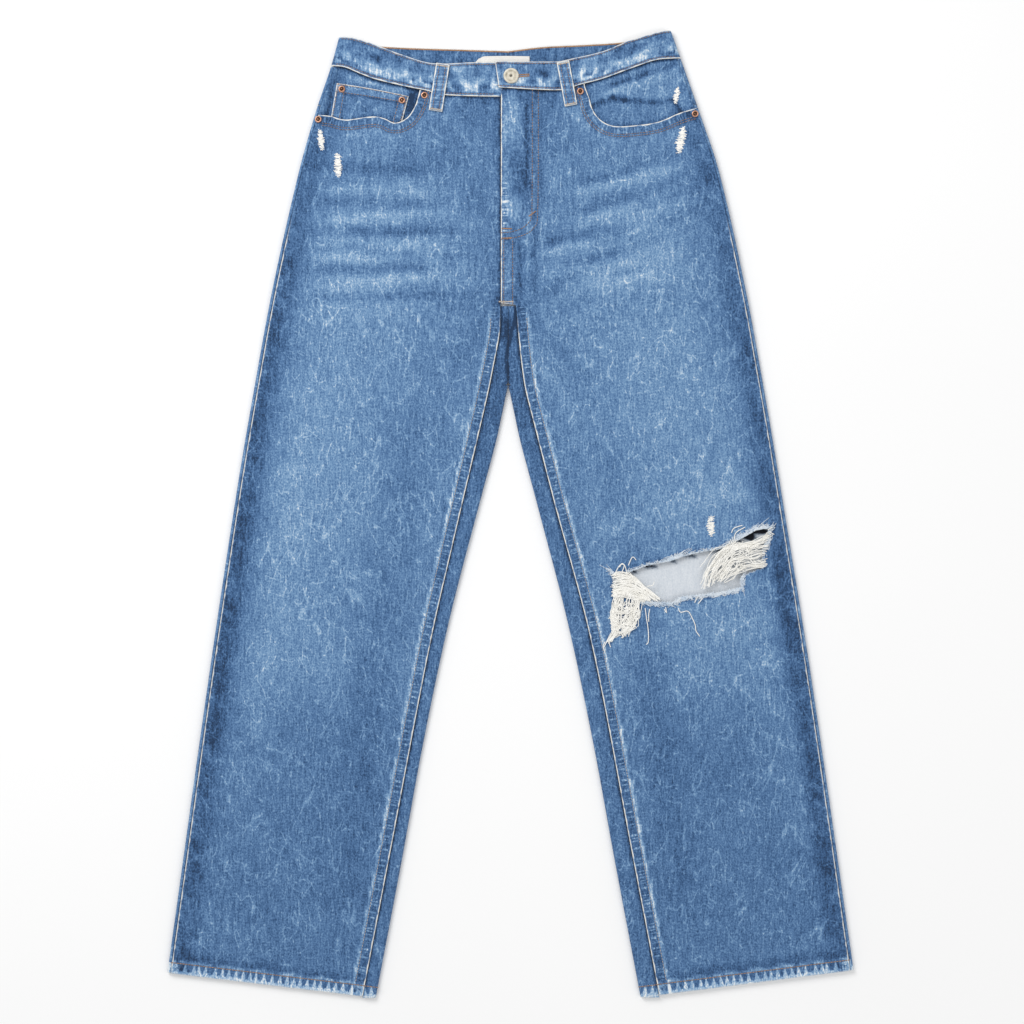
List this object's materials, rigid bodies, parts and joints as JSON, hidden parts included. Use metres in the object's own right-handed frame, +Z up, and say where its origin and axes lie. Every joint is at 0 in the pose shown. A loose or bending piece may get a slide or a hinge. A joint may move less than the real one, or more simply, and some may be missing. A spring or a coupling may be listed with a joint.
{
  "type": "ripped jeans",
  "caption": "Straight-leg denim jeans laid flat and face up, fastened at the waist, with a torn knee whose bared threads hang across the hole.",
  "frame": {"origin": "centre of the garment's outline in plan, on the surface it lies on", "axes": "+Z up from the surface, +Y from the hems to the waist, +X toward the wearer's left leg"},
  "size_m": [0.7556, 1.064, 0.0124],
  "materials": {
    "denim": "stonewashed mid-blue cotton twill, faded on the thighs, pale and worn along every seam",
    "label_cloth": "plain off-white woven label, left blank",
    "button_metal": "pale nickel shank button, satin and slightly worn",
    "copper": "aged copper rivets with a dark centre",
    "bare_thread": "undyed cotton weft threads, matt off-white",
    "stitching": "copper-brown and cream topstitching thread"
  },
  "bodies": {
    "root": {"front_right_leg": "denim", "back_right_leg": "denim", "back_right_side_turn": "denim", "back_right_inner_turn": "denim", "yoke_right": "denim", "waistband_right": "denim", "pocket_facing_right": "denim", "back_pocket_right": "denim", "front_left_leg": "denim", "back_left_leg": "denim", "back_left_side_turn": "denim", "back_left_inner_turn": "denim", "yoke_left": "denim", "waistband_left": "denim", "pocket_facing_left": "denim", "back_pocket_left": "denim", "coin_pocket": "denim", "fly_shield": "denim", "belt_loop_1": "denim", "belt_loop_2": "denim", "belt_loop_3": "denim", "belt_loop_4": "denim", "belt_loop_5": "denim", "waist_label": "label_cloth", "button": "button_metal", "rivet_1": "copper", "rivet_2": "copper", "rivet_3": "copper", "rivet_4": "copper", "rivet_5": "copper", "rivet_6": "copper", "tear_threads_inner": "bare_thread", "tear_threads_outer": "bare_thread"}
  },
  "joints": []
}
